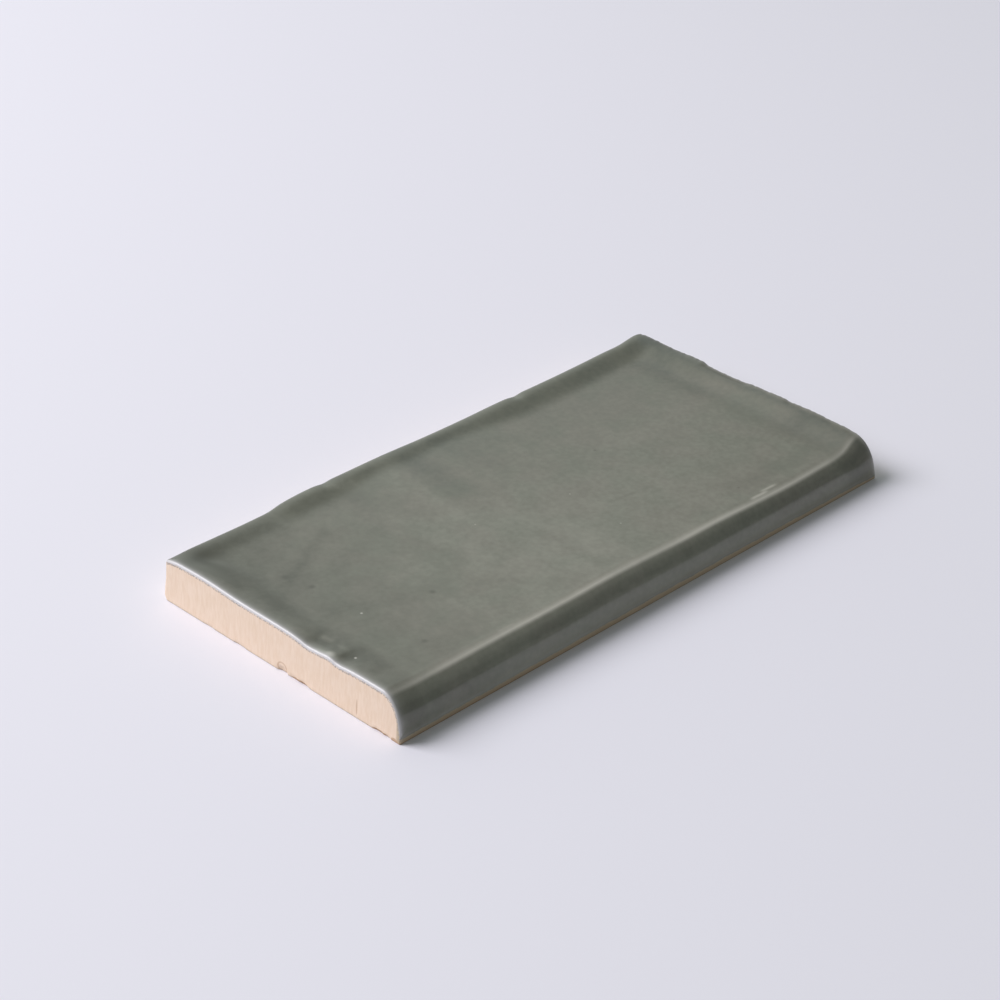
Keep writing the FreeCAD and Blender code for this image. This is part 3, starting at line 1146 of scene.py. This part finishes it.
        bend = np.linspace(0.0, QUARTER_TURN, self.arris_rows + 1)[None, 1:]
        near = np.exp(-(((station + self.half_length) / self.corner_reach) ** 2))
        tuck = self.corner_lean * near
        arris_y = rim + (self.back_arris - tuck) * np.sin(bend)
        arris_z = face_z[:, -1:] - self.back_arris * (1.0 - np.cos(bend))

        drop = np.linspace(1.0, 0.0, self.wall_rows + 1)[1:] ** self.wall_crowding
        wall_z = self.foot_bevel + (arris_z[:, -1:] - self.foot_bevel) * drop
        wall_z = np.concatenate([wall_z, 0.0 * station], axis=1)
        drop = np.append(drop, 0.0)
        wall_y = self.back - self.inset(wall_z)
        slant = arris_y[:, -1:] + tuck - self.back + self.inset(arris_z[:, -1:])
        rubbed = np.clip(1.0 - wall_z / self.corner_rub_height, 0.0, 1.0) ** self.corner_rub_power
        lean = ease((wall_z - self.corner_lean_start) / self.corner_lean_rise)
        wall_y = wall_y + slant * drop**2 - self.corner_rub * near * rubbed - tuck * lean

        parts = [(low_y, low_z), (nose_y, nose_z), (face_y, face_z), (arris_y, arris_z), (wall_y, wall_z)]
        zones = {}
        first = 0
        for zone, (part, _) in zip(Zone, parts):
            zones[zone] = slice(first, first + part.shape[1])
            first += part.shape[1]
        y = np.concatenate([part for part, _ in parts], axis=1)
        z = np.concatenate([part for _, part in parts], axis=1)
        return zones, y, z

    def rounding(self, zones: dict[Zone, slice], rows: int) -> Array:
        """Radius of the rounded end of each row.

        Args:
            zones: The rows of each zone.
            rows: Count of all rows.

        Returns:
            One radius for each row.
        """
        radius = np.full(rows, self.face_arris)
        radius[zones[Zone.FOOT]] = self.foot_arris
        nose = zones[Zone.NOSE]
        rise = np.linspace(0.0, 1.0, nose.stop - nose.start)
        blend = ease((rise - self.nose_blend) / (1.0 - self.nose_blend))
        radius[nose] = self.nose_arris + (self.face_arris - self.nose_arris) * blend
        blend_rows = slice(nose.start, nose.start + self.foot_blend_rows)
        radius[blend_rows] = np.linspace(self.foot_arris, self.nose_arris, self.foot_blend_rows)
        arris = zones[Zone.ARRIS]
        radius[arris] = np.linspace(self.face_arris, self.corner_ease, arris.stop - arris.start)
        radius[zones[Zone.WALL]] = self.corner_ease
        return radius

    def outward(self, zones: dict[Zone, slice], y: Array, z: Array) -> Array:
        """Outward direction of each row in the section.

        Args:
            zones: The rows of each zone.
            y: The section's y at one station.
            z: Its z.

        Returns:
            One unit direction, y and z, for each row.
        """
        along = np.stack([np.gradient(y), np.gradient(z)], axis=1)
        along /= np.linalg.norm(along, axis=1, keepdims=True)
        away = np.stack([-along[:, 1], along[:, 0]], axis=1)
        away[zones[Zone.FOOT]] = (-1.0, 0.0)
        away[zones[Zone.WALL]] = (1.0, 0.0)
        return away

    def build(self) -> bpy.types.Object:
        """Builds the tile.

        Returns:
            The tile as one closed mesh object at the origin.
        """
        skin = Skin()
        shell, rims, zones = self.add_shell(skin)
        lines = {}
        for end in End:
            lines[end] = self.add_end(skin, end, shell[end.column], rims[end], zones)
        self.add_underside(skin, shell, lines)
        piece = bpy.data.objects.new("tile", skin.mesh("tile", VALUES))
        bpy.context.scene.collection.objects.link(piece)
        return piece

    def add_shell(self, skin: Skin) -> tuple[Array, dict[End, Array], dict[Zone, slice]]:
        """Adds the front, face and back with their rounded ends.

        Args:
            skin: The mesh being made.

        Returns:
            Point numbers by column and row, the place of each row on both end faces, and the zones' rows.
        """
        share = np.linspace(-1.0, 1.0, self.columns)
        zones, y, z = self.section(share * self.relief.end)
        radius = self.rounding(zones, y.shape[1])
        reach = {end: self.half_length - self.inset(z[end.column]) - radius for end in End}
        share = share[:, None]
        x = share * np.where(share < 0.0, reach[End.NEAR], reach[End.FAR])
        ends = QUARTER_TURN * radius + np.minimum(reach[End.NEAR] + x, reach[End.FAR] - x)
        middle = np.stack([x, y, z], axis=-1)
        columns = [middle]
        turns = np.linspace(0.0, QUARTER_TURN, self.arris_rows + 1)[1:]
        rims = {}
        for end in End:
            edge = middle[end.column, :, 1:]
            away = self.outward(zones, edge[:, 0], edge[:, 1])
            levels = []
            for turn in turns:
                drawn = edge - away * (radius * (1.0 - math.cos(turn)))[:, None]
                drawn[:, 1] = np.clip(drawn[:, 1], 0.0, None)
                out = self.half_length - self.inset(drawn[:, 1]) - radius * (1.0 - math.sin(turn))
                levels.append(np.column_stack([end.value * out, drawn]))
            rims[end] = levels[-1]
            left = (QUARTER_TURN - turns)[:, None] * radius
            if end is End.NEAR:
                columns.insert(0, np.stack(levels[::-1]))
                ends = np.concatenate([left[::-1], ends])
            else:
                columns.append(np.stack(levels))
                ends = np.concatenate([ends, left])
        places = np.concatenate(columns)
        shell = skin.add_points(places, self.shell_values(places, radius, ends, zones))
        skin.add_grid(shell)
        return shell, rims, zones

    def shell_values(self, places: Array, radius: Array, ends: Array, zones: dict[Zone, slice]) -> Array:
        """Works out the values that the shell's points carry.

        Args:
            places: The points by column and row.
            radius: Radius of each row's rounded ends.
            ends: How far each point is from the nearer end, along the surface.
            zones: The rows of each zone.

        Returns:
            The values of each point, in the order of their names.
        """
        x = places[..., 0]
        length = np.linalg.norm(np.diff(places[:, :, 1:], axis=1), axis=2)
        along = np.concatenate([np.zeros((len(places), 1)), np.cumsum(length, axis=1)], axis=1)
        past_back = along[:, zones[Zone.ARRIS].stop - 1, None] - along
        past_foot = along - along[:, self.glaze_row(zones), None]
        over = along[:, zones[Zone.FACE].start, None] - along
        depth = np.minimum(np.minimum(past_back, past_foot), ends)
        width = np.broadcast_to(np.maximum(radius, self.nose_arris), depth.shape)
        blend = ease((radius - self.nose_arris) / (self.face_arris - self.nose_arris))
        line = self.nose_line + (self.end_line - self.nose_line) * blend
        show = np.where(past_foot < np.minimum(past_back, ends), self.foot_line, line)
        show = np.where((x > 0.0) & (show > self.foot_line), self.far_line, show)
        show = np.where(past_back < ends, self.back_line, show)
        pool = GlazePoolsAndShade().depth(self.relief, x, places[..., 1])
        # Painted light under the crest and painted shade lower down the nose, then paler glaze towards the
        # front foot.
        bands = (
            (self.tail_painted_light, self.tail_start, self.tail_stop),
            (self.shade, self.shade_start, self.shade_stop),
        )
        for size, start, stop in bands:
            pool += size.at(x) * FaceRelief.steep(np.clip((over - start) / (stop - start), 0.0, 1.0))
        pool += self.foot_pale.at(x) * (1.0 - ease(past_foot / self.foot_fade))
        return np.stack([depth, width, show, self.crest_break_and_highlights(x, over), pool], axis=-1)

    def crest_break_and_highlights(self, x: Array, over: Array) -> Array:
        """How thinly the glaze is drawn over the nose's crest, with painted highlights along it.

        Args:
            x: Places along the tile.
            over: How far over the nose each place is, from the face.

        Returns:
            One share for each place.
        """
        peak = self.ridge_peak.at(x)
        rise = np.clip((over - self.ridge_start) / (peak - self.ridge_start), 0.0, 1.0)
        ridge = self.ridge.at(x) * rise ** self.ridge_power.at(x)
        ridge *= 1.0 - ease((over - peak) / self.ridge_fall)
        # Adds the painted highlight streaks to the crest's pale break.
        for highlight in self.crest_highlights:
            spell = ease((x - highlight.first) / self.highlight_fade) * ease((highlight.last - x) / self.highlight_fade)
            across = (over - highlight.line) / self.highlight_width
            ridge += highlight.strength * spell * np.exp(-(across**2))
        return ridge

    def add_end(
        self, skin: Skin, end: End, ring: Array, rim: Array, zones: dict[Zone, slice]
    ) -> Array:
        """Adds one trimmed end face, patched across its rim.

        Args:
            skin: The mesh being made.
            end: Which end.
            ring: Point numbers of the rim, from the front foot to the back foot.
            rim: The rim's points.
            zones: The rows of each zone.

        Returns:
            Point numbers of the face's foot, from the back to the front.
        """
        back_top = zones[Zone.ARRIS].start - 1
        depth_rows = len(ring) - 1 - back_top
        front_top = depth_rows
        outline = rim[:, 1:]
        top = outline[front_top : back_top + 1][::-1]
        left = outline[back_top:]
        right = outline[: front_top + 1][::-1]
        across = (top[0, 0] - top[:, 0]) / (top[0, 0] - top[-1, 0])
        foot = left[-1] + (right[-1] - left[-1]) * across[:, None]
        down = np.linspace(0.0, 1.0, depth_rows + 1)[:, None, None]
        over = across[None, :, None]
        corners = (
            (1 - down) * ((1 - over) * top[0] + over * top[-1])
            + down * ((1 - over) * foot[0] + over * foot[-1])
        )
        sides = (1 - over) * left[:, None, :] + over * right[:, None, :]
        flat = (1 - down) * top[None] + down * foot[None] + sides - corners
        inner = flat[1:, 1:-1]
        glazed = outline[self.glaze_row(zones) : zones[Zone.ARRIS].stop]
        bare = -self.distance(inner, glazed)
        out = self.half_length - self.inset(inner[..., 1])
        if end is End.NEAR:
            for chip in self.chips:
                beside = (inner[..., 0] - chip.y) / chip.reach
                hollow = 1.0 - beside**2 - (inner[..., 1] / chip.height) ** 2
                out = out - chip.bite * np.sqrt(np.clip(hollow, 0.0, None))
        places = np.concatenate([end.value * out[..., None], inner], axis=-1)
        plain = np.ones_like(bare)
        values = (bare, self.face_arris * plain, self.end_line * plain, 0.0 * plain, 0.0 * plain)
        made = skin.add_points(places, np.stack(values, axis=-1))
        grid = np.zeros(flat.shape[:2], dtype=int)
        grid[0] = ring[front_top : back_top + 1][::-1]
        grid[:, 0] = ring[back_top:]
        grid[:, -1] = ring[: front_top + 1][::-1]
        grid[1:, 1:-1] = made
        skin.add_grid(grid, turned=end is End.FAR)
        return grid[-1]

    @staticmethod
    def distance(places: Array, line: Array) -> Array:
        """Distance of each place in the section from a line of points.

        Args:
            places: Array of places, with y and z last.
            line: The line's points.

        Returns:
            One distance for each place.
        """
        start = line[:-1]
        way = line[1:] - start
        span = np.maximum((way**2).sum(axis=1), TINY)
        from_start = places[..., None, :] - start
        share = np.clip((from_start * way).sum(axis=-1) / span, 0.0, 1.0)
        return np.linalg.norm(from_start - share[..., None] * way, axis=-1).min(axis=-1)

    def add_underside(self, skin: Skin, shell: Array, lines: dict[End, Array]) -> None:
        """Adds the flat underside: a plain grid, stitched to the foot all round.

        Args:
            skin: The mesh being made.
            shell: Point numbers of the shell by column and row.
            lines: Point numbers of each end face's foot, from the back to the front.
        """
        margin = self.underside_margin
        x = np.linspace(margin - self.half_length, self.half_length - margin, self.underside_grid[0])
        y = np.linspace(self.front + margin, self.back - margin, self.underside_grid[1])
        places = np.stack([*np.meshgrid(x, y, indexing="ij"), np.zeros(self.underside_grid)], axis=-1)
        bare = (-margin, self.face_arris, 0.0, 0.0, 0.0)
        values = np.broadcast_to(bare, (*self.underside_grid, len(bare)))
        grid = skin.add_points(places, values)
        skin.add_grid(grid, turned=True)
        skin.add_strip(shell[:, 0], grid[:, 0])
        skin.add_strip(lines[End.FAR][::-1], grid[-1])
        skin.add_strip(shell[::-1, -1], grid[::-1, -1])
        skin.add_strip(lines[End.NEAR], grid[0, ::-1])

    def dress(self, piece: bpy.types.Object) -> None:
        """Gives the tile its fine relief and finish, and sets it in the frame.

        Args:
            piece: The built tile.
        """
        FiredRelief().apply(piece, GlazedClay().material())
        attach(piece, BODY)
        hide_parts(NODE)


@dataclass(frozen=True)
class Panel:
    """A soft light: a panel that faces the tile."""

    name: str
    bearing: float
    elevation: float
    distance: float
    width: float
    height: float
    power: float
    colour: tuple[float, float, float]

    def hang(self) -> None:
        """Makes the light."""
        lamp = bpy.data.lights.new(self.name, "AREA")
        lamp.shape = "RECTANGLE"
        lamp.size = self.width
        lamp.size_y = self.height
        lamp.energy = self.power
        lamp.color = self.colour
        panel = bpy.data.objects.new(self.name, lamp)
        panel.location = bearing_vector(self.bearing, self.elevation) * self.distance
        panel.rotation_euler = (-panel.location).to_track_quat("-Z", "Y").to_euler()
        panel.visible_camera = False
        bpy.context.scene.collection.objects.link(panel)


def bearing_vector(bearing: float, elevation: float) -> Vector:
    """Direction from the origin.

    Args:
        bearing: Degrees round from +X.
        elevation: Degrees above the floor.

    Returns:
        The direction, one unit long.
    """
    turn = math.radians(bearing)
    rise = math.radians(elevation)
    return Vector((math.cos(turn) * math.cos(rise), math.sin(turn) * math.cos(rise), math.sin(rise)))


@dataclass(frozen=True)
class Studio:
    """A pale floor, soft light from one side and the camera. Lengths here are in metres."""

    floor_size: float = 6.0
    floor_colour: Colour = (0.78, 0.775, 0.83, 1.0)
    floor_roughness: float = 0.9
    floor_shine: float = 0.2
    room_colour: Colour = (0.93, 1.0, 0.95, 1.0)
    room_strength: float = 0.205
    wall_strength: float = 0.8
    wall_bearing: float = 85.0
    wall_elevation: float = 25.0
    wall_inner: float = 30.0
    wall_outer: float = 48.0
    aim: tuple[float, float, float] = (0.0058, 0.0165, 0.0)
    camera_bearing: float = -134.46
    camera_elevation: float = 30.75
    camera_distance: float = 0.6012
    lens_mm: float = 94.49
    panels: tuple[Panel, ...] = (
        Panel("window_panel", 127.5, 41.4, 2.0, 1.2, 1.2, 44.8, (0.97, 0.94, 1.0)),
    )

    def build_floor(self) -> None:
        """Makes the floor."""
        half = self.floor_size / 2.0
        corners = [(-half, -half, 0.0), (half, -half, 0.0), (half, half, 0.0), (-half, half, 0.0)]
        mesh = bpy.data.meshes.new("floor")
        mesh.from_pydata(corners, [], [(0, 1, 2, 3)])
        material = bpy.data.materials.new("pale_floor")
        material.use_nodes = True
        shader = material.node_tree.nodes["Principled BSDF"]
        shader.inputs["Base Color"].default_value = self.floor_colour
        shader.inputs["Roughness"].default_value = self.floor_roughness
        shader.inputs["Specular IOR Level"].default_value = self.floor_shine
        mesh.materials.append(material)
        floor = bpy.data.objects.new("floor", mesh)
        bpy.context.scene.collection.objects.link(floor)

    def build_light(self) -> None:
        """Makes the soft panels, and round them a dim room with one bright wall."""
        for panel in self.panels:
            panel.hang()
        world = bpy.data.worlds.new("room")
        world.use_nodes = True
        nodes = Nodes(world.node_tree)
        way = nodes.add("ShaderNodeTexCoord").outputs["Generated"]
        wall = bearing_vector(self.wall_bearing, self.wall_elevation)
        facing = nodes.vector("DOT_PRODUCT", way, wall).outputs["Value"]
        outer = math.cos(math.radians(self.wall_outer))
        inner = math.cos(math.radians(self.wall_inner))
        bright = nodes.step(facing, Ramp(outer, inner, self.room_strength, self.wall_strength))
        background = world.node_tree.nodes["Background"]
        background.inputs["Color"].default_value = self.room_colour
        nodes.put(background.inputs["Strength"], bright)
        bpy.context.scene.world = world

    def build_camera(self) -> None:
        """Makes the camera at the photograph's viewing angle."""
        lens = bpy.data.cameras.new("camera")
        lens.lens = self.lens_mm
        camera = bpy.data.objects.new("camera", lens)
        back = bearing_vector(self.camera_bearing, self.camera_elevation)
        camera.location = Vector(self.aim) + back * self.camera_distance
        camera.rotation_euler = (-back).to_track_quat("-Z", "Y").to_euler()
        bpy.context.scene.collection.objects.link(camera)
        bpy.context.scene.camera = camera


def main() -> None:
    """Builds the tile and the studio."""
    logging.basicConfig(level=logging.INFO, format="%(message)s")
    bpy.context.scene.view_settings.view_transform = "Standard"
    low, high = (np.array(corner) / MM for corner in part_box(NODE))
    tile = BullnoseTile(half_length=high[0], front=low[1] + GLAZE_ROOM, back=high[1], top=high[2])
    piece = tile.build()
    tile.dress(piece)
    log.info("%s: %d faces", piece.name, len(piece.data.polygons))
    studio = Studio()
    studio.build_floor()
    studio.build_light()
    studio.build_camera()


if __name__ == "__main__":
    main()
